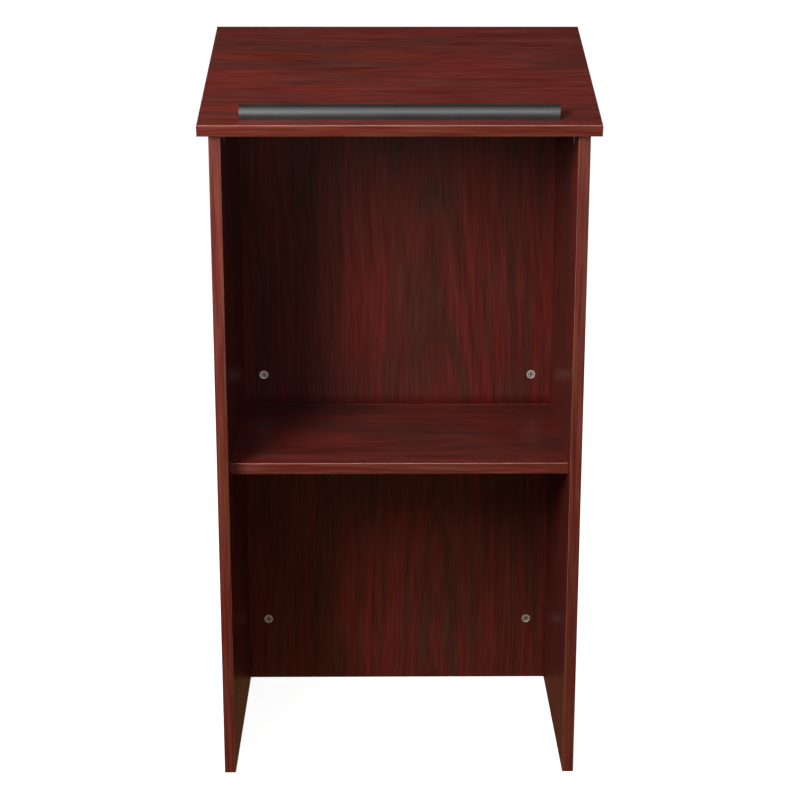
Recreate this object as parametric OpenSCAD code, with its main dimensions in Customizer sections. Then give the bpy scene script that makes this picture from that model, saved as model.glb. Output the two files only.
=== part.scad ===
// Presentation lectern: a floor-standing, flat-pack reading stand of laminated board.
// A sloping top and one shelf sit between two side panels and a front panel.
// Knock-down fittings (a bolt screwed into one board, drawn tight by a turning cam let
// into the other) and glued dowels hold the boards together.
//
// Frame: millimetres, +Z up, origin under the middle of the overall box, on the floor.
// The presenter stands on the -Y side. The front panel faces the audience, on the +Y side.

/* [Overall] */
// Width across the top board
overall_w = 600; // [560:5:640]
// Depth from the top's front arris to its rear arris, on the floor plan
overall_d = 400; // [380:5:440]
// Height to the top's rear arris
overall_h = 1168; // [1100:4:1240]
// Slope of the reading surface
slope = 15.5; // [12:0.5:18]

/* [Boards] */
// Board thickness
board_t = 18; // [18:1:20]
// Thickness of the edge banding
band_t = 1.5; // [1.3:0.1:2]
// Radius of the banding's outer arrises
arris_r = 1.2; // [0.5:0.1:1.2]
// Width over the two side panels
body_w = 568; // [540:2:572]
// How far the top stands out in front of the side panels
front_overhang = 16; // [10:1:30]

/* [Shelf] */
// Height of the shelf's upper face
shelf_z = 518; // [420:2:540]
// Shelf front edge, back from the front edges of the side panels
shelf_recess = 36; // [10:1:60]

/* [Paper stop] */
// Length of the paper stop
stop_len = 476; // [420:4:520]
// Width of its base
stop_w = 28; // [24:1:30]
// Height above the reading surface
stop_h = 18; // [16:1:20]
// Front of its base, up the slope from the top's front arris
stop_setback = 21; // [18:1:40]
// Distance between its screws
stop_screw_pitch = 180; // [150:5:200]

/* [Joints] */
// Joint face to cam centre
bolt_reach = 34; // [34:0.5:36]
// Height of the lowest cams on the front panel
cam_row_z = 114; // [80:1:140]
// Height from one row of those cams to the next
cam_row_pitch = 457.5; // [420:2.5:457.5]
// First and last cam under the top, up the slope from the top's front arris
top_cam_first = 72; // [60:1:90]
top_cam_last = 328; // [290:1:330]
// Shelf cams, in from the shelf's front and rear edges
shelf_cam_inset = 50; // [45:1:70]
// Cam to dowel, and dowel to the next dowel's cam
dowel_step = 32; // [32:1:48]

/* [Hidden] */
$fn = 48;
CUT = 1;                                   // overshoot of every cutting shape

// Boards
band_gap_d = 2 * band_t;                   // what two edge bands take off a board
top_len = (overall_d - board_t * sin(slope)) / cos(slope);
top_y = -overall_d / 2 + board_t * sin(slope);   // front lower arris of the top
top_z = overall_h - top_len * sin(slope) - board_t * cos(slope);
side_front_y = -overall_d / 2 + front_overhang;
side_rear_y = overall_d / 2 - board_t * sin(slope);
side_in_x = body_w / 2 - board_t;          // inner face of a side panel
side_mid_x = body_w / 2 - board_t / 2;
panel_y = side_rear_y - board_t;           // inner face of the front panel
panel_mid_y = side_rear_y - board_t / 2;
shelf_front_y = side_front_y + shelf_recess;
shelf_mid_z = shelf_z - board_t / 2;

// Cam, bolt and bores of one knock-down fitting
cam_bore_r = 7.5;
cam_bore_depth = 13.2;
cam_r = 7.45;
cam_inset = 0.2;                           // cam face below the board's face
cam_len = 12.8;
cam_cap = 5.4;                             // solid part under the cam's face
cam_rim = 1.3;
cam_rim_chamfer = 0.3;
cam_dish = 0.5;                            // face inside the rim, below the rim
cross_len = 8.4;
cross_w = 1.5;
cross_depth = 2.8;
arrow_len = 1.5;
arrow_r = 4.2;                             // cam centre to the arrow's base
arrow_depth = 0.5;                         // below the dished face
chamber_r = 5.6;
chamber_off = 0.5;                         // eccentricity that draws the bolt in
cam_turn = 200;                            // locked to released
neck_slot_h = 4.2;
neck_slot_past = 28;                       // slot beyond the locked bolt, degrees
entry_w = 6.8;                             // gap that lets the bolt's head out
edge_bore_r = 4;
pilot_r = 2.5;
pilot_depth = 12;
bolt_thread_r = 2.45;
bolt_root_r = 1.9;
bolt_thread_len = 11;
bolt_thread_pitch = 1.6;
bolt_collar_r = 3.7;
bolt_collar_len = 2;
bolt_shank_r = 2.8;
bolt_cam_gap = 1;                          // shank stops this far outside the cam
bolt_shank_end = bolt_reach - cam_r - bolt_cam_gap;
bolt_neck_r = 1.7;
bolt_head_r = 2.9;
bolt_head_face_r = 2.3;
bolt_head_back = 4.2;                      // head's near face to the cam centre
bolt_head_start = bolt_reach - bolt_head_back;
bolt_head_len = 2.8;
bolt_head_chamfer = 0.6;

// Dowels
dowel_r = 3.95;
dowel_bore_r = 4;
dowel_in = 10;                             // length in the board whose face is drilled
dowel_out = 20;                            // length in the board whose edge is drilled
dowel_chamfer = 1;
dowel_bore_spare = 1;                      // free depth at each end

// Paper stop screws
screw_r = 1.95;
screw_root_r = 1.4;
screw_bore_r = 2;
screw_head_r = 4;
screw_head_h = 2.6;
screw_sunk = 0.3;                          // head below the top's underside
screw_bite = 12;                           // length inside the paper stop
screw_pitch = 1.8;

SIDES = [-1, 1];                           // left, right
SIDES_AND_MIDDLE = [-1, 0, 1];
PANEL_ROWS = [for (i = [0:2]) cam_row_z + i * cam_row_pitch];
PANEL_DOWELS = [for (i = [0:1]) cam_row_z + (i + 0.5) * cam_row_pitch];
TOP_CAMS = [top_cam_first, top_cam_last];
TOP_DOWELS = [top_cam_first + dowel_step, top_cam_last - dowel_step];
SHELF_CAMS = [shelf_front_y + shelf_cam_inset, panel_y - shelf_cam_inset];
SHELF_DOWELS = [SHELF_CAMS[0] + dowel_step, SHELF_CAMS[1] - dowel_step];

MAHOGANY = [0.36, 0.15, 0.13];
MAHOGANY_EDGE = [0.42, 0.19, 0.15];
CHARCOAL = [0.24, 0.24, 0.25];
ZINC = [0.72, 0.70, 0.68];
STEEL = [0.62, 0.62, 0.60];
BEECH = [0.78, 0.62, 0.42];

// ---- Frames -----------------------------------------------------------------------

// The top board's own frame: X as before, Y up the slope from its front edge, Z out of
// its face, with Z = 0 on its underside.
module on_top() {
    translate([0, top_y, top_z]) rotate([slope, 0, 0]) children();
}

// A joint's own frame: the origin is on the joint face at the middle of the board that
// holds the cam, Z points into that board and X towards the face that shows the cam.
module panel_joint(side, z) {
    translate([side * side_in_x, panel_mid_y, z])
        rotate([90 * side, 0, 0]) rotate([0, -90 * side, 0]) children();
}

module shelf_joint(side, y) {
    translate([side * side_in_x, y, shelf_mid_z])
        rotate([90 * (side + 1), 0, 0]) rotate([0, -90 * side, 0]) children();
}

module top_joint(side, y) {
    on_top() translate([side * side_mid_x, y, 0])
        rotate([90 * (1 - side), 90 * (1 + side), 0]) children();
}

// ---- Bores ------------------------------------------------------------------------

// Pilot hole for the bolt's thread, in the board whose face is drilled
module pilot_cut() {
    translate([0, 0, -pilot_depth]) cylinder(r = pilot_r, h = pilot_depth + CUT);
}

// Edge bore for the bolt and round pocket for the cam, in the board that holds the cam
module fitting_cut() {
    translate([0, 0, -CUT]) cylinder(r = edge_bore_r, h = bolt_reach + CUT);
    translate([board_t / 2 - cam_bore_depth, 0, bolt_reach])
        rotate([0, 90, 0]) cylinder(r = cam_bore_r, h = cam_bore_depth + CUT);
}

module dowel_cut() {
    translate([0, 0, -dowel_in - dowel_bore_spare])
        cylinder(r = dowel_bore_r, h = dowel_in + dowel_out + 2 * dowel_bore_spare);
}

// ---- Fittings ---------------------------------------------------------------------

// Profile of a threaded length from z = 0 down to z = -len, as rings of the given pitch
function thread_points(len, pitch, crest, root) = [
    for (i = [0:floor(len / pitch) - 1])
        for (p = [[root, -i * pitch], [crest, -(i + 0.5) * pitch]]) p
];

// Bolt along Z: thread below the joint face, head above it inside the cam
module cam_bolt() {
    head_z = bolt_head_start;
    color(STEEL) rotate_extrude() polygon(concat(
        [[0, bolt_head_start + bolt_head_len],
         [bolt_head_r - bolt_head_chamfer, head_z + bolt_head_len],
         [bolt_head_r, head_z + bolt_head_len - bolt_head_chamfer],
         [bolt_head_r, head_z + bolt_head_chamfer],
         [bolt_head_face_r, head_z],
         [bolt_neck_r, head_z],
         [bolt_neck_r, bolt_shank_end],
         [bolt_shank_r, bolt_shank_end],
         [bolt_shank_r, bolt_collar_len],
         [bolt_collar_r, bolt_collar_len],
         [bolt_collar_r, 0]],
        thread_points(bolt_thread_len, bolt_thread_pitch, bolt_thread_r, bolt_root_r),
        [[0, -bolt_thread_len]]));
}

// Dowel along Z, chamfered at both ends
module dowel() {
    color(BEECH) rotate_extrude() polygon([
        [0, -dowel_in],
        [dowel_r - dowel_chamfer, -dowel_in],
        [dowel_r, -dowel_in + dowel_chamfer],
        [dowel_r, dowel_out - dowel_chamfer],
        [dowel_r - dowel_chamfer, dowel_out],
        [0, dowel_out]]);
}

// Cross recess for the driver, and the arrow that shows which way the bolt lies
module cam_marks() {
    for (turn = [0, 90]) rotate([0, 0, turn])
        translate([-cross_len / 2, -cross_w / 2, -cross_depth])
            cube([cross_len, cross_w, cross_depth + CUT]);
    rotate([0, 0, 45]) translate([arrow_r, 0, -cam_dish - arrow_depth])
        linear_extrude(arrow_depth + CUT)
            polygon([[0, -arrow_len / 2], [arrow_len, 0], [0, arrow_len / 2]]);
}

// Cam with its face at z = 0 and the locked bolt arriving along +X, at the middle of the
// board. Its eccentric chamber holds the bolt's head. The neck runs in the slot while the
// cam turns, and the head leaves through the entry gap at the end of the turn.
module cam_solid() {
    bolt_z = cam_inset - board_t / 2;
    difference() {
        rotate_extrude() polygon([
            [0, -cam_len],
            [cam_r, -cam_len],
            [cam_r, -cam_rim_chamfer],
            [cam_r - cam_rim_chamfer, 0],
            [cam_r - cam_rim, 0],
            [cam_r - cam_rim - cam_dish, -cam_dish],
            [0, -cam_dish]]);
        translate([-chamber_off, 0, -cam_len - CUT])
            cylinder(r = chamber_r, h = cam_len - cam_cap + CUT);
        translate([0, 0, bolt_z - neck_slot_h / 2])
            rotate([0, 0, -cam_turn])
                rotate_extrude(angle = cam_turn + neck_slot_past)
                    square([cam_r + CUT, neck_slot_h]);
        rotate([0, 0, -cam_turn])
            translate([0, -entry_w / 2, -cam_len - CUT])
                cube([cam_r + CUT, entry_w, cam_len - cam_cap + CUT]);
        cam_marks();
    }
}

module cam() {
    color(ZINC)
        translate([board_t / 2 - cam_inset, 0, bolt_reach]) rotate([0, 90, 0]) cam_solid();
}

// ---- Boards -----------------------------------------------------------------------

// Everything under the plane of the top's underside, between y_from and y_to
module under_top(y_from, y_to) {
    under = function(y) top_z + (y - top_y) * tan(slope);
    rotate([90, 0, 90])
        linear_extrude(overall_w, center = true)
            polygon([[y_from, 0], [y_to, 0], [y_to, under(y_to)], [y_from, under(y_from)]]);
}

// Strip of banding: thickness along X from its glued face at x = 0, width board_t along Y
module band_profile() {
    difference() {
        square([band_t, board_t]);
        for (side = [0, 1])
            translate([band_t, side * board_t]) mirror([0, side]) band_corner();
    }
}

// What rounding takes off the outer corner at the origin, towards -X and +Y
module band_corner() {
    difference() {
        translate([-arris_r, -CUT]) square([arris_r + CUT, arris_r + CUT]);
        translate([-arris_r, arris_r]) circle(arris_r);
    }
}

module top_joint_cuts() {
    for (side = SIDES) {
        for (y = TOP_CAMS) top_joint(side, y) children(0);
        for (y = TOP_DOWELS) top_joint(side, y) children(1);
    }
}

module top_panel() {
    color(MAHOGANY) difference() {
        on_top() translate([-overall_w / 2 + band_t, band_t, 0])
            cube([overall_w - band_gap_d, top_len - band_gap_d, board_t]);
        top_joint_cuts() {
            pilot_cut();
            dowel_cut();
        }
        for (i = SIDES_AND_MIDDLE) stop_screw_at(i) screw_cut();
    }
}

module top_end_band(turn) {
    color(MAHOGANY_EDGE) on_top()
        translate([0, top_len / 2, 0]) rotate([0, 0, turn])
            translate([top_len / 2 - band_t, 0, 0])
                rotate([90, 0, 0]) linear_extrude(overall_w, center = true) band_profile();
}

module top_side_band(side) {
    color(MAHOGANY_EDGE) on_top()
        translate([0, top_len / 2, 0]) rotate([0, 0, 90 * (1 - side)])
            translate([overall_w / 2 - band_t, 0, 0])
                rotate([90, 0, 0])
                    linear_extrude(top_len - band_gap_d, center = true) band_profile();
}

module top_front_band() { top_end_band(-90); }
module top_rear_band() { top_end_band(90); }
module top_left_band() { top_side_band(-1); }
module top_right_band() { top_side_band(1); }

// Board of a side panel, on the given side, with every bore that its fittings need
module side_panel(side) {
    color(MAHOGANY) difference() {
        intersection() {
            under_top(side_front_y + band_t, side_rear_y - band_t);
            translate([side * side_mid_x, 0, overall_h / 2])
                cube([board_t, overall_d, overall_h + CUT], center = true);
        }
        for (z = PANEL_ROWS) panel_joint(side, z) pilot_cut();
        for (z = PANEL_DOWELS) panel_joint(side, z) dowel_cut();
        for (y = SHELF_CAMS) shelf_joint(side, y) pilot_cut();
        for (y = SHELF_DOWELS) shelf_joint(side, y) dowel_cut();
        for (y = TOP_CAMS) top_joint(side, y) fitting_cut();
        for (y = TOP_DOWELS) top_joint(side, y) dowel_cut();
    }
}

module left_side_panel() { side_panel(-1); }
module right_side_panel() { side_panel(1); }

// Banding of a side panel's vertical edge. facing is -1 for the front edge, 1 for the rear.
module side_band(side, facing) {
    glued_y = facing < 0 ? side_front_y + band_t : side_rear_y - band_t;
    color(MAHOGANY_EDGE) intersection() {
        translate([side * side_mid_x, glued_y, 0]) rotate([0, 0, 90 * facing])
            translate([0, -board_t / 2, 0]) linear_extrude(overall_h) band_profile();
        under_top(-overall_d, overall_d);
    }
}

module left_side_front_band() { side_band(-1, -1); }
module left_side_rear_band() { side_band(-1, 1); }
module right_side_front_band() { side_band(1, -1); }
module right_side_rear_band() { side_band(1, 1); }

module front_panel() {
    color(MAHOGANY) difference() {
        intersection() {
            under_top(panel_y, side_rear_y);
            translate([0, 0, overall_h / 2])
                cube([2 * side_in_x, overall_d, overall_h + CUT], center = true);
        }
        for (side = SIDES) {
            for (z = PANEL_ROWS) panel_joint(side, z) fitting_cut();
            for (z = PANEL_DOWELS) panel_joint(side, z) dowel_cut();
        }
    }
}

module shelf_panel() {
    front_y = shelf_front_y + band_t;
    color(MAHOGANY) difference() {
        translate([-side_in_x, front_y, shelf_z - board_t])
            cube([2 * side_in_x, panel_y - front_y, board_t]);
        for (side = SIDES) {
            for (y = SHELF_CAMS) shelf_joint(side, y) fitting_cut();
            for (y = SHELF_DOWELS) shelf_joint(side, y) dowel_cut();
        }
    }
}

module shelf_front_band() {
    color(MAHOGANY_EDGE)
        translate([0, shelf_front_y + band_t, shelf_z - board_t]) rotate([0, 0, -90])
            rotate([90, 0, 0]) linear_extrude(2 * side_in_x, center = true) band_profile();
}

// ---- Paper stop -------------------------------------------------------------------

// Frame on the reading surface under the paper stop's middle line, at one of its screws
module stop_screw_at(i) {
    on_top() translate([i * stop_screw_pitch, stop_setback + stop_w / 2, board_t]) children();
}

// Through hole and countersink in the top, and pilot hole in the stop
module screw_cut() {
    translate([0, 0, -board_t - CUT]) cylinder(r = screw_bore_r, h = board_t + 2 * CUT);
    translate([0, 0, -board_t - CUT]) cylinder(r = screw_head_r, h = screw_sunk + CUT);
    translate([0, 0, screw_sunk - board_t])
        cylinder(r1 = screw_head_r, r2 = screw_bore_r, h = screw_head_h);
}

// Half-round bar on a low straight base
module paper_stop() {
    wall_h = stop_h - stop_w / 2;
    color(CHARCOAL) difference() {
        stop_screw_at(0) rotate([90, 0, 90]) linear_extrude(stop_len, center = true) {
            translate([-stop_w / 2, 0]) square([stop_w, wall_h]);
            intersection() {
                translate([0, wall_h]) circle(stop_w / 2);
                translate([-stop_w / 2, 0]) square([stop_w, stop_h]);
            }
        }
        for (i = SIDES_AND_MIDDLE)
            stop_screw_at(i) translate([0, 0, -CUT])
                cylinder(r = screw_bore_r, h = screw_bite + 2 * CUT);
    }
}

// Countersunk screw, up through the top into the stop, with a cross in its head
module stop_screw() {
    gap = screw_bore_r - screw_r;
    difference() {
        rotate_extrude() polygon(concat(
            [[0, screw_sunk - board_t],
             [screw_head_r - gap, screw_sunk - board_t],
             [screw_r, screw_sunk + screw_head_h - board_t],
             [screw_r, 0]],
            [for (p = thread_points(screw_bite, screw_pitch, screw_r, screw_root_r))
                [p[0], -p[1]]],
            [[0, screw_bite]]));
        for (turn = [0, 90]) rotate([0, 0, turn])
            translate([-screw_r, -screw_sunk, -board_t - CUT])
                cube([2 * screw_r, 2 * screw_sunk, screw_head_h / 2 + screw_sunk + CUT]);
    }
}

module paper_stop_screws() {
    color(STEEL) for (i = SIDES_AND_MIDDLE) stop_screw_at(i) stop_screw();
}

// ---- Fittings in place ------------------------------------------------------------

module panel_cam(side, row) { panel_joint(side, PANEL_ROWS[row]) cam(); }
module top_cam(side, row) { top_joint(side, TOP_CAMS[row]) cam(); }
module shelf_cam(side, row) { shelf_joint(side, SHELF_CAMS[row]) cam(); }

module panel_bolts() { for (side = SIDES, z = PANEL_ROWS) panel_joint(side, z) cam_bolt(); }
module top_bolts() { for (side = SIDES, y = TOP_CAMS) top_joint(side, y) cam_bolt(); }
module shelf_bolts() { for (side = SIDES, y = SHELF_CAMS) shelf_joint(side, y) cam_bolt(); }

module panel_dowels() { for (side = SIDES, z = PANEL_DOWELS) panel_joint(side, z) dowel(); }
module top_dowels() { for (side = SIDES, y = TOP_DOWELS) top_joint(side, y) dowel(); }
module shelf_dowels() { for (side = SIDES, y = SHELF_DOWELS) shelf_joint(side, y) dowel(); }

// ---- Nodes ------------------------------------------------------------------------

top_panel();
top_front_band();
top_rear_band();
top_left_band();
top_right_band();
paper_stop();
paper_stop_screws();
left_side_panel();
left_side_front_band();
left_side_rear_band();
right_side_panel();
right_side_front_band();
right_side_rear_band();
front_panel();
shelf_panel();
shelf_front_band();
panel_cam(-1, 0);  // panel_cam_left_low
panel_cam(-1, 1);  // panel_cam_left_mid
panel_cam(-1, 2);  // panel_cam_left_high
panel_cam(1, 0);  // panel_cam_right_low
panel_cam(1, 1);  // panel_cam_right_mid
panel_cam(1, 2);  // panel_cam_right_high
top_cam(-1, 0);  // top_cam_left_front
top_cam(-1, 1);  // top_cam_left_rear
top_cam(1, 0);  // top_cam_right_front
top_cam(1, 1);  // top_cam_right_rear
shelf_cam(-1, 0);  // shelf_cam_left_front
shelf_cam(-1, 1);  // shelf_cam_left_rear
shelf_cam(1, 0);  // shelf_cam_right_front
shelf_cam(1, 1);  // shelf_cam_right_rear
panel_bolts();
top_bolts();
shelf_bolts();
panel_dowels();
top_dowels();
shelf_dowels();
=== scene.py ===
import math

import bpy
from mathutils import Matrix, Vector

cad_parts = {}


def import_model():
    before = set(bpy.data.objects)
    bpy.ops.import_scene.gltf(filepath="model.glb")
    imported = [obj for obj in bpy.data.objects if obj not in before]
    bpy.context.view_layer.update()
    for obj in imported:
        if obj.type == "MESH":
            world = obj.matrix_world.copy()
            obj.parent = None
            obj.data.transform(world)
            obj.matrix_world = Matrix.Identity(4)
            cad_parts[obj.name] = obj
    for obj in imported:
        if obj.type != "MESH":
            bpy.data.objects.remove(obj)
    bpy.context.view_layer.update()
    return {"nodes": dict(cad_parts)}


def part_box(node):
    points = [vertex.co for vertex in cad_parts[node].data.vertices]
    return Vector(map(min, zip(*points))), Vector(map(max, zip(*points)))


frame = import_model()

NODES = frame["nodes"]

MM = 0.001
SLOPE = math.radians(15.5)      # of the reading top


# ---------------------------------------------------------------- node trees

class Graph:
    """One material's node tree. Each call adds a node and returns its output."""

    def __init__(self, name):
        self.material = bpy.data.materials.new(name)
        self.material.use_nodes = True
        self.tree = self.material.node_tree
        self.tree.nodes.clear()
        spot = self.add("ShaderNodeTexCoord")
        self.spot = spot.outputs["Object"]
        self.facing = spot.outputs["Normal"]
        self.x, self.y, self.z = self.split(self.spot)

    def add(self, kind, values=None, **settings):
        node = self.tree.nodes.new(kind)
        for key, value in settings.items():
            setattr(node, key, value)
        for key, value in (values or {}).items():
            self.feed(node.inputs[key], value)
        return node

    def feed(self, socket, value):
        if isinstance(value, bpy.types.NodeSocket):
            self.tree.links.new(value, socket)
        else:
            socket.default_value = value

    def math(self, operation, *values, clamp=False):
        node = self.add("ShaderNodeMath", operation=operation, use_clamp=clamp)
        for socket, value in zip(node.inputs, values):
            self.feed(socket, value)
        return node.outputs[0]

    def split(self, vector):
        return self.add("ShaderNodeSeparateXYZ", {0: vector}).outputs

    def join(self, x, y, z):
        return self.add("ShaderNodeCombineXYZ", {0: x, 1: y, 2: z}).outputs[0]

    def stretch(self, vector, x, y, z):
        return self.add("ShaderNodeMapping", {0: vector, 3: (x, y, z)}).outputs[0]

    def noise(self, vector, scale=1.0, detail=2.0, rough=0.5):
        node = self.add("ShaderNodeTexNoise", {
            "Vector": vector, "Scale": scale,
            "Detail": detail, "Roughness": rough})
        return node.outputs[0]

    def cells(self, vector, scale):
        """The random colour of each cell."""
        return self.add("ShaderNodeTexVoronoi",
                        {"Vector": vector, "Scale": scale}).outputs["Color"]

    def fit(self, value, low, high, to_low=0.0, to_high=1.0, smooth=False):
        node = self.add("ShaderNodeMapRange", {
            0: value, 1: low, 2: high, 3: to_low, 4: to_high},
            interpolation_type="SMOOTHSTEP" if smooth else "LINEAR")
        return node.outputs[0]

    def mix(self, amount, first, second, how="MIX"):
        node = self.add("ShaderNodeMix", data_type="RGBA", blend_type=how)
        for place, value in ((0, amount), (6, first), (7, second)):
            if isinstance(value, tuple):
                value = (*value, 1.0)
            self.feed(node.inputs[place], value)
        return node.outputs[2]

    def ramp(self, value, *stops):
        node = self.add("ShaderNodeValToRGB", {0: value})
        ends = node.color_ramp.elements
        while len(ends) < len(stops):
            ends.new(0.5)
        for end, (place, colour) in zip(ends, stops):
            end.position = place
            end.color = (*colour, 1.0)
        return node.outputs[0]

    def bump(self, height, depth, strength):
        return self.add("ShaderNodeBump", {
            "Height": height, "Distance": depth, "Strength": strength}).outputs[0]

    def finish(self, colour, roughness, normal, **constants):
        shader = self.add("ShaderNodeBsdfPrincipled", {
            "Base Color": colour, "Roughness": roughness, "Normal": normal,
            **{k.replace("_", " "): v for k, v in constants.items()}})
        self.add("ShaderNodeOutputMaterial", {0: shader.outputs[0]})
        return self.material


# ----------------------------------------------------------------- materials

# The film's two print colours, and what its darkest and palest fibres multiply them by.
RED = (0.172, 0.0208, 0.0154)
BROWN = (0.084, 0.0208, 0.0156)
FIBRE_DARK = (0.80, 0.32, 0.32)
FIBRE_PALE = (1.20, 1.68, 1.68)
EDGE_RED = (0.200, 0.0270, 0.0160)
EDGE_BROWN = (0.135, 0.0270, 0.0165)
# Pale colour of the band arrises, partly rubbed wear and partly painted highlight; also
# the painted highlight on the shelf's rear seam
PALE_WEAR_AND_HIGHLIGHT = (0.62, 0.30, 0.23)
PORE = (0.018, 0.006, 0.005)
# Painted shade: this tint darkens the film just above the shelf joint, where shade falls
PAINTED_SHADE_TINT = (0.66, 0.16, 0.08)      # multiplies the film's own colour
PAINTED_SHADE_HEIGHT = 0.023
CHIP_LIGHT = (0.46, 0.31, 0.17)
CHIP_DARK = (0.20, 0.115, 0.055)


def grain(g, across, along, seed, heart, depth, lean):
    """Growth lines on a flat-sawn board. The pith runs behind the line across = heart,
    depth metres below the face and lean metres deeper for each metre along the board, so
    the lines rise in nested arches there and run straight elsewhere. Returns the distance
    from the pith, the distance across the board, and a value that differs from side to
    side."""
    wander = g.noise(g.join(seed, g.math("MULTIPLY", along, 1.6), 0.0), detail=1.0)
    off = g.math("ADD", g.math("SUBTRACT", across, heart),
                 g.fit(wander, 0.25, 0.75, -0.012, 0.012))
    sunk = g.math("ADD", g.math("MULTIPLY_ADD", along, lean, depth),
                  g.fit(wander, 0.25, 0.75, 0.008, -0.008))
    pith = g.math("SQRT", g.math("ADD", g.math("MULTIPLY", off, off),
                                 g.math("MULTIPLY", sunk, sunk)))
    wave = g.noise(g.join(g.math("MULTIPLY", across, 11.0),
                          g.math("MULTIPLY", along, 3.0), seed), detail=2.0)
    lines = g.math("MULTIPLY_ADD", wave, 0.012, pith)
    return lines, off, g.math("MULTIPLY_ADD", across, 5.0, seed)


def print_layers(g, lines, off, along, side, width=1.0):
    """The parts of the print, from wide bands to pores, each between 0 and 1. The wide
    ones follow the growth lines, and the fine ones run straight along the board. A width
    above 1 makes every part that much wider. Each layer gives its waves per metre across
    the board and along it, and a turn that keeps it apart from the others."""
    def layer(run, wide, long, turn, detail=2.0):
        return g.noise(g.join(g.math("MULTIPLY", run, wide / width),
                              g.math("MULTIPLY", along, long),
                              g.math("ADD", side, turn)), detail=detail, rough=0.6)
    return {
        "bands": layer(lines, 17.0, 1.8, 0.0),
        "streaks": layer(lines, 75.0, 3.6, 7.3),
        "rings": layer(lines, 130.0, 4.5, 5.1),
        "threads": layer(lines, 280.0, 8.0, 3.1),
        "strands": layer(off, 360.0, 7.0, 11.9),
        "fibre": layer(off, 620.0, 15.0, 1.7),
        "flecks": layer(off, 300.0, 13.0, 8.7, 1.0),
        "pores": layer(off, 1100.0, 42.0, 5.9, 1.0),
    }


def heart_stain(g, off, along, seed):
    """Lens-shaped patches over the pith, brown (above 0) and red (below 0) by turns."""
    near = g.math("DIVIDE", off, 0.010)
    core = g.math("EXPONENT", g.math("MULTIPLY", g.math("MULTIPLY", near, near), -1.0))
    place = g.noise(g.join(g.math("ADD", seed, 40.0), g.math("MULTIPLY", along, 3.2), 0.0),
                    detail=0.0)
    return g.math("MULTIPLY", core, g.fit(place, 0.35, 0.65, -0.28, 0.30, smooth=True))


def tone(g, parts, weights):
    """The weighted sum of some parts of the print, around a middle of 0.5."""
    total = None
    for name, weight in weights.items():
        part = g.math("MULTIPLY", g.math("SUBTRACT", parts[name], 0.5), weight)
        total = part if total is None else g.math("ADD", total, part)
    return g.math("ADD", total, 0.5, clamp=True)


def chipboard(g):
    """Raw particle board, which shows on the edges that stand on the floor."""
    small = g.cells(g.spot, 420.0)
    large = g.cells(g.spot, 190.0)
    mixed = g.math("MULTIPLY_ADD", g.split(large)[0], 0.55,
                   g.math("MULTIPLY", g.split(small)[1], 0.45))
    return g.ramp(mixed, (0.15, CHIP_DARK), (0.55, CHIP_LIGHT),
                  (0.9, (0.56, 0.41, 0.25)))


def laminate(name, across, along, seed, heart=0.0, depth=0.03, lean=0.08, width=1.0,
             blush=0.0, crisp=1.0, open_edge=False, corner=None, seam=None):
    """Wood-print melamine film on board, its grain along one axis. Blush reddens it, and
    crisp strengthens its finer lines. Corner is the height of a shelf that meets the
    board's presenter side, with painted shade just above it. Seam is the y of a rear edge
    that butts against another board, where a pale hairline is painted on as a highlight."""
    g = Graph(name)
    axis = {"x": g.x, "y": g.y, "z": g.z}
    way = axis[along]
    lines, off, side = grain(g, axis[across], way, seed, heart, depth, lean)
    parts = print_layers(g, lines, off, way, side, width)
    hue = tone(g, parts, {"bands": 1.1, "streaks": 1.7, "rings": 0.7})
    hue = g.math("SUBTRACT", hue, heart_stain(g, off, way, seed))
    colour = g.mix(g.fit(hue, 0.2, 0.8, blush, 1.0 + blush), BROWN, RED)
    fine = tone(g, parts, {"threads": 0.7, "strands": 1.0 * crisp, "fibre": 1.3})
    colour = g.mix(1.0, colour, g.ramp(fine, (0.1, FIBRE_DARK), (0.9, FIBRE_PALE)),
                   "MULTIPLY")
    colour = g.mix(g.fit(parts["flecks"], 0.6, 0.75, 0.0, 0.2), colour, PORE)
    pore = g.fit(parts["pores"], 0.62, 0.74)
    colour = g.mix(g.math("MULTIPLY", pore, 0.45), colour, PORE)
    height = g.math("MULTIPLY_ADD", parts["fibre"], 0.6,
                    g.math("MULTIPLY", pore, -0.8))
    smudge = g.noise(g.spot, scale=6.0, detail=3.0)
    roughness = g.math("ADD", g.fit(smudge, 0.3, 0.7, 0.26, 0.32),
                       g.math("MULTIPLY", parts["fibre"], 0.06))
    # Painted shade: the presenter side of the film darkens toward the shelf joint, where
    # shade falls
    if corner is not None:
        above = g.fit(g.z, corner, corner + PAINTED_SHADE_HEIGHT, 1.0, 0.0, smooth=True)
        shelf = g.fit(g.z, corner - 1.0 * MM, corner)
        inner = g.fit(g.split(g.facing)[1], -0.9, -0.5, 1.0, 0.0)
        painted_shade = g.math("MULTIPLY", g.math("MULTIPLY", above, shelf), inner)
        colour = g.mix(painted_shade, colour, g.mix(1.0, colour, PAINTED_SHADE_TINT, "MULTIPLY"))
    # Painted highlight: a pale hairline along the rear edge, where it catches light
    # against the other board
    if seam is not None:
        seam_highlight = g.fit(g.y, seam - 3.0 * MM, seam - 2.2 * MM, 0.0, 0.36)
        colour = g.mix(seam_highlight, colour, PALE_WEAR_AND_HIGHLIGHT)
    if open_edge:
        under = g.fit(g.split(g.facing)[2], -0.9, -0.7, 1.0, 0.0)
        colour = g.mix(under, colour, chipboard(g))
        roughness = g.math("MAXIMUM", roughness, g.math("MULTIPLY", under, 0.9))
    return g.finish(colour, roughness, g.bump(height, 0.05 * MM, 0.5),
                    Specular_IOR_Level=0.28)


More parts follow.
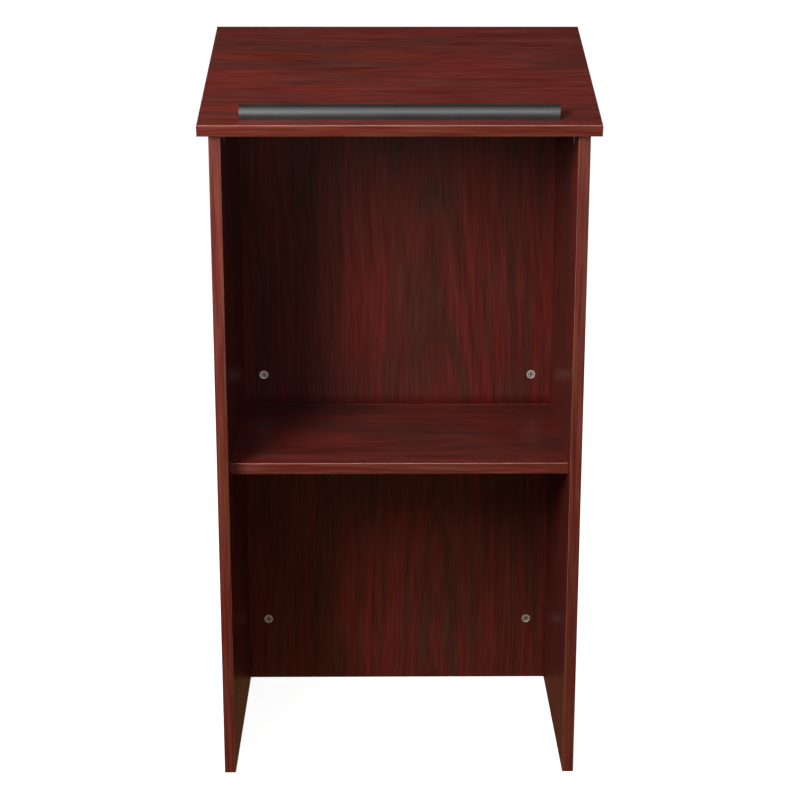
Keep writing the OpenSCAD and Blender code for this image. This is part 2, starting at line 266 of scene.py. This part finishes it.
def edging(name, across, along, seed, tilt=0.0):
    """Edge band: plainer, a little lighter, and pale along its rounded arrises, partly
    rubbed wear and partly painted highlight, most on the upper ones, a little on those
    facing the middle."""
    g = Graph(name)
    axis = {"x": g.x, "y": g.y, "z": g.z}
    lines = g.math("ADD", axis[across], seed)
    parts = print_layers(g, lines, lines, axis[along], g.math("ADD", g.y, seed))
    hue = tone(g, parts, {"streaks": 1.0, "rings": 0.8})
    colour = g.mix(g.fit(hue, 0.2, 0.8), EDGE_BROWN, EDGE_RED)
    fine = tone(g, parts, {"rings": 0.9, "threads": 1.8, "strands": 1.6, "fibre": 1.0})
    colour = g.mix(1.0, colour, g.ramp(fine, (0.1, FIBRE_DARK), (0.9, FIBRE_PALE)),
                   "MULTIPLY")
    level = g.add("ShaderNodeVectorRotate", {"Vector": g.facing, "Angle": -tilt},
                  rotation_type="X_AXIS").outputs[0]
    flat = g.add("ShaderNodeVectorMath", {0: level}, operation="ABSOLUTE").outputs[0]
    nx, ny, nz = g.split(flat)
    most = g.math("MAXIMUM", nx, g.math("MAXIMUM", ny, nz))
    rubbed = g.noise(g.spot, scale=45.0, detail=3.0)
    # Painted highlight, partly wear: upper arrises and those facing the middle get more of
    # the pale colour, where light catches them
    upward = g.fit(g.split(level)[2], 0.05, 0.35, 0.08, 1.0)
    outward = g.math("MULTIPLY", g.math("SIGN", g.x), g.split(level)[0])
    lit_or_handled = g.math("MAXIMUM", upward, g.fit(outward, -0.4, -0.15, 0.45, 0.0))
    arris = g.math("MULTIPLY", g.fit(most, 0.97, 0.78, smooth=True),
                   g.math("MULTIPLY", g.fit(rubbed, 0.25, 0.7, 0.55, 1.0), lit_or_handled))
    colour = g.mix(arris, colour, PALE_WEAR_AND_HIGHLIGHT)
    roughness = g.math("SUBTRACT", g.math("MULTIPLY_ADD", parts["fibre"], 0.10, 0.33),
                       g.math("MULTIPLY", arris, 0.08))
    height = g.math("MULTIPLY_ADD", rubbed, 0.5, parts["fibre"])
    return g.finish(colour, roughness, g.bump(height, 0.03 * MM, 0.5),
                    Specular_IOR_Level=0.42)


def moulding():
    """Charcoal plastic of the paper stop: satin, with faint extrusion lines."""
    g = Graph("charcoal_satin")
    lines = g.noise(g.stretch(g.spot, 14.0, 900.0, 900.0), detail=2.0)
    speck = g.noise(g.spot, scale=1500.0, detail=2.0)
    cloud = g.noise(g.spot, scale=30.0, detail=3.0)
    colour = g.ramp(g.math("MULTIPLY_ADD", lines, 0.5, g.math("MULTIPLY", cloud, 0.5)),
                    (0.3, (0.0080, 0.0083, 0.0096)), (0.7, (0.0130, 0.0135, 0.0155)))
    roughness = g.math("ADD", g.fit(cloud, 0.3, 0.7, 0.37, 0.42),
                       g.math("MULTIPLY", lines, 0.06))
    height = g.math("MULTIPLY_ADD", speck, 0.4, lines)
    return g.finish(colour, roughness, g.bump(height, 0.02 * MM, 0.6),
                    Specular_IOR_Level=0.95)


def zinc(name, axis, face, outward):
    """Die-cast zinc. The rim is rubbed bright; depth below the cam's face, along the axis,
    darkens its recesses, deeper down with painted shade."""
    g = Graph(name)
    along = {"x": g.x, "y": g.y, "z": g.z}[axis]
    depth = g.math("MULTIPLY", g.math("SUBTRACT", along, face), -outward / MM)
    cast = g.noise(g.spot, scale=900.0, detail=4.0, rough=0.65)
    stain = g.noise(g.spot, scale=260.0, detail=3.0)
    dull = g.ramp(g.math("MULTIPLY_ADD", cast, 0.5, g.math("MULTIPLY", stain, 0.5)),
                  (0.3, (0.42, 0.38, 0.33)), (0.55, (0.58, 0.54, 0.49)),
                  (0.75, (0.72, 0.69, 0.64)))
    colour = g.mix(g.fit(depth, 0.1, 0.4, smooth=True), (0.97, 0.94, 0.90), dull)
    # Painted shade: the deeper parts of the recess turn nearly black, where shade falls
    recess_shade = g.fit(depth, 0.6, 2.6, smooth=True)
    colour = g.mix(g.math("MULTIPLY", recess_shade, 0.85), colour, (0.08, 0.065, 0.05))
    roughness = g.fit(stain, 0.3, 0.7, 0.55, 0.66)
    return g.finish(colour, roughness, g.bump(cast, 0.06 * MM, 0.5),
                    Metallic=0.9, Specular_IOR_Level=0.9)


def plated_steel():
    """Bright zinc plate on the bolts and screws, with fine turning marks."""
    g = Graph("zinc_plate")
    turned = g.noise(g.stretch(g.spot, 900.0, 900.0, 900.0), detail=3.0)
    film = g.noise(g.spot, scale=120.0, detail=3.0)
    colour = g.ramp(film, (0.3, (0.52, 0.52, 0.50)), (0.5, (0.66, 0.66, 0.63)),
                    (0.7, (0.70, 0.66, 0.52)))
    return g.finish(colour, g.fit(turned, 0.3, 0.7, 0.22, 0.36),
                    g.bump(turned, 0.02 * MM, 0.4), Metallic=1.0)


def beech(name, along):
    """Fluted dowels of pale beech with short dark flecks along the grain."""
    g = Graph(name)
    long = {"x": (30.0, 500.0, 500.0), "y": (500.0, 30.0, 500.0),
            "z": (500.0, 500.0, 30.0)}[along]
    fibre = g.noise(g.stretch(g.spot, *long), detail=3.0)
    fleck = g.noise(g.stretch(g.spot, *(2.2 * s for s in long)), detail=1.0)
    colour = g.ramp(fibre, (0.3, (0.44, 0.27, 0.14)), (0.7, (0.62, 0.43, 0.26)))
    colour = g.mix(g.fit(fleck, 0.62, 0.7, 0.0, 0.6), colour, (0.22, 0.11, 0.05))
    return g.finish(colour, g.fit(fibre, 0.3, 0.7, 0.55, 0.7),
                    g.bump(fibre, 0.08 * MM, 0.6), Specular_IOR_Level=0.4)


def paint(material, *names):
    """Gives each named piece the one material."""
    for name in names:
        slots = NODES[name].data.materials
        slots.clear()
        slots.append(material)


def paint_all():
    """Every piece's material. No two boards share a seed, so none repeats another."""
    paint(laminate("mahogany_top", "y", "x", 3.7, heart=0.035, depth=0.025, lean=0.06,
                   width=1.9, blush=0.24, crisp=1.5), "top_panel")
    paint(laminate("mahogany_front", "x", "z", 12.9, heart=0.067, depth=0.02,
                   open_edge=True, corner=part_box("shelf_panel")[1][2]), "front_panel")
    paint(laminate("mahogany_left", "y", "z", 21.3, heart=-0.05, open_edge=True),
          "left_side_panel")
    paint(laminate("mahogany_right", "y", "z", 34.8, heart=0.06, open_edge=True),
          "right_side_panel")
    paint(laminate("mahogany_shelf", "y", "x", 47.1, heart=-0.02, depth=0.04,
                   width=1.6, crisp=1.8, seam=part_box("shelf_panel")[1][1]),
          "shelf_panel")
    paint(edging("edging_top_long", "z", "x", 5.1, SLOPE),
          "top_front_band", "top_rear_band")
    paint(edging("edging_top_ends", "z", "y", 9.4, SLOPE),
          "top_left_band", "top_right_band")
    paint(edging("edging_left", "x", "z", 14.6),
          "left_side_front_band", "left_side_rear_band")
    paint(edging("edging_right", "x", "z", 19.2),
          "right_side_front_band", "right_side_rear_band")
    paint(edging("edging_shelf", "z", "x", 25.5), "shelf_front_band")
    paint(moulding(), "paper_stop")

    for family, axis in (("panel", "y"), ("top", "x"), ("shelf", "z")):
        for side, sign in (("left", 1), ("right", -1)):
            cams = [n for n in NODES if n.startswith(f"{family}_cam_{side}")]
            low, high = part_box(cams[0])
            place = "xyz".index(axis)
            outward = {"panel": -1, "top": sign, "shelf": -1}[family]
            face = (high if outward > 0 else low)[place]
            paint(zinc(f"zinc_{family}_{side}", axis, face, outward), *cams)

    paint(plated_steel(), "panel_bolts", "top_bolts", "shelf_bolts",
          "paper_stop_screws")
    paint(beech("beech_across", "x"), "panel_dowels", "shelf_dowels")
    paint(beech("beech_up", "z"), "top_dowels")


# --------------------------------------------------------------------- stage

BACKDROP = 1.02                         # just over white, so that it clips evenly
FLOOR_GLOW_NEAR = 0.93                  # the lamps add the rest around the feet
FLOOR_SIZE = 40.0
ROOM_FILL = (0.054, 0.052, 0.044)
FLOOR_BOUNCE = (0.245, 0.190, 0.085)
FLOOR_SHEEN = (0.150, 0.058, 0.025)     # the same, as seen in reflections


def floor():
    """A plain pale floor. It is clear from underneath, so the underside can be seen."""
    data = bpy.data.meshes.new("floor")
    corners = [(x * FLOOR_SIZE, y * FLOOR_SIZE, -0.2 * MM) for x, y in
               ((-1, -1), (1, -1), (1, 1), (-1, 1))]
    data.from_pydata(corners, [], [(0, 1, 2, 3)])
    plane = bpy.data.objects.new("floor", data)
    bpy.context.scene.collection.objects.link(plane)

    g = Graph("pale_floor")
    far = g.add("ShaderNodeVectorMath", {0: g.spot}, operation="LENGTH").outputs["Value"]
    glow = g.add("ShaderNodeEmission", {0: (1.0, 1.0, 1.0, 1.0),
                                        1: g.fit(far, 0.8, 3.5, FLOOR_GLOW_NEAR,
                                                 BACKDROP)})
    matt = g.add("ShaderNodeBsdfDiffuse", {0: (0.55, 0.55, 0.55, 1.0)})
    lit = g.add("ShaderNodeAddShader", {0: glow.outputs[0], 1: matt.outputs[0]})
    clear = g.add("ShaderNodeBsdfTransparent")
    below = g.add("ShaderNodeNewGeometry").outputs["Backfacing"]
    both = g.add("ShaderNodeMixShader", {0: below, 1: lit.outputs[0],
                                         2: clear.outputs[0]})
    g.add("ShaderNodeOutputMaterial", {0: both.outputs[0]})
    data.materials.append(g.material)
    plane.visible_glossy = False
    plane.visible_diffuse = False
    plane.visible_transmission = False


def softbox(name, azimuth, elevation, width, height, radiance, distance=3.2,
            target=(0.0, 0.0, 0.62), sheen_only=False):
    """A square soft light. Azimuth 0 is the presenter's side, and grows to the right. With
    sheen_only it makes highlights, but does not light the matt part of a surface."""
    a, e = math.radians(azimuth), math.radians(elevation)
    away = Vector((math.sin(a) * math.cos(e), -math.cos(a) * math.cos(e), math.sin(e)))
    data = bpy.data.lights.new(name, "AREA")
    data.shape = "RECTANGLE"
    data.size, data.size_y = width, height
    data.energy = radiance * math.pi * width * height
    lamp = bpy.data.objects.new(name, data)
    bpy.context.scene.collection.objects.link(lamp)
    lamp.location = Vector(target) + away * distance
    lamp.rotation_euler = away.to_track_quat("Z", "Y").to_euler()
    lamp.visible_camera = False
    lamp.visible_diffuse = not sheen_only


def world():
    """White behind the object. For everything else a dim even fill, and under the horizon
    the warm dark of a floor that the object shades."""
    sky = bpy.data.worlds.new("studio")
    bpy.context.scene.world = sky
    sky.use_nodes = True
    tree = sky.node_tree
    tree.nodes.clear()

    def add(kind, **values):
        node = tree.nodes.new(kind)
        for key, value in values.items():
            socket = node.inputs[key.replace("_", " ")]
            if isinstance(value, bpy.types.NodeSocket):
                tree.links.new(value, socket)
            else:
                socket.default_value = value
        return node

    rays = tree.nodes.new("ShaderNodeLightPath").outputs
    way = tree.nodes.new("ShaderNodeTexCoord").outputs["Generated"]
    height = add("ShaderNodeSeparateXYZ", Vector=way).outputs[2]
    above = add("ShaderNodeMapRange", Value=height,
                From_Min=-0.12, From_Max=0.05).outputs[0]
    fill = tree.nodes.new("ShaderNodeMix")
    fill.data_type = "RGBA"
    tree.links.new(above, fill.inputs[0])
    under = tree.nodes.new("ShaderNodeMix")
    under.data_type = "RGBA"
    tree.links.new(rays["Is Glossy Ray"], under.inputs[0])
    under.inputs[6].default_value = (*FLOOR_BOUNCE, 1.0)
    under.inputs[7].default_value = (*FLOOR_SHEEN, 1.0)
    tree.links.new(under.outputs[2], fill.inputs[6])
    fill.inputs[7].default_value = (*ROOM_FILL, 1.0)
    choice = tree.nodes.new("ShaderNodeMix")
    choice.data_type = "RGBA"
    tree.links.new(rays["Is Camera Ray"], choice.inputs[0])
    tree.links.new(fill.outputs[2], choice.inputs[6])
    choice.inputs[7].default_value = (BACKDROP, BACKDROP, BACKDROP, 1.0)
    shade = add("ShaderNodeBackground", Color=choice.outputs[2])
    add("ShaderNodeOutputWorld", Surface=shade.outputs[0])


def camera():
    """The photograph's own view, from in front and a little above."""
    data = bpy.data.cameras.new("view")
    data.sensor_width = 36.0
    data.lens = 82.67
    data.shift_y = -0.05
    data.clip_start, data.clip_end = 0.1, 100.0
    eye = bpy.data.objects.new("view", data)
    bpy.context.scene.collection.objects.link(eye)
    eye.location = (-0.0257, -2.8973, 1.4387)
    eye.rotation_euler = [math.radians(v) for v in (74.705, -0.059, -0.542)]
    bpy.context.scene.camera = eye


def lights():
    """The key comes from the front left. The strip lights the paper stop's crown, the two
    glints light the cams, and the rest keep the sides and the back readable."""
    softbox("key", -32.5, 25, 0.65, 1.0, 18.2, distance=2.07, target=(0.0, 0.0, 0.9))
    softbox("strip", 22, 25, 1.4, 0.5, 3.8, distance=1.5, target=(0.0, 0.0, 1.1),
            sheen_only=True)
    for side in (-38, 38):
        softbox("glint", side, 10, 1.0, 1.0, 3.0, distance=2.2, sheen_only=True)
    softbox("low_strip", 10, 8, 2.4, 0.4, 0.9)
    softbox("high_front", -10, 62, 3.0, 2.4, 1.25)
    softbox("right_rear", 118, 16, 1.8, 1.8, 2.5)
    softbox("left_rear", -122, 16, 1.8, 1.8, 2.6)
    softbox("rear", 172, 12, 2.0, 1.2, 1.6)


paint_all()
floor()
world()
lights()
camera()
bpy.context.scene.view_settings.view_transform = "Standard"
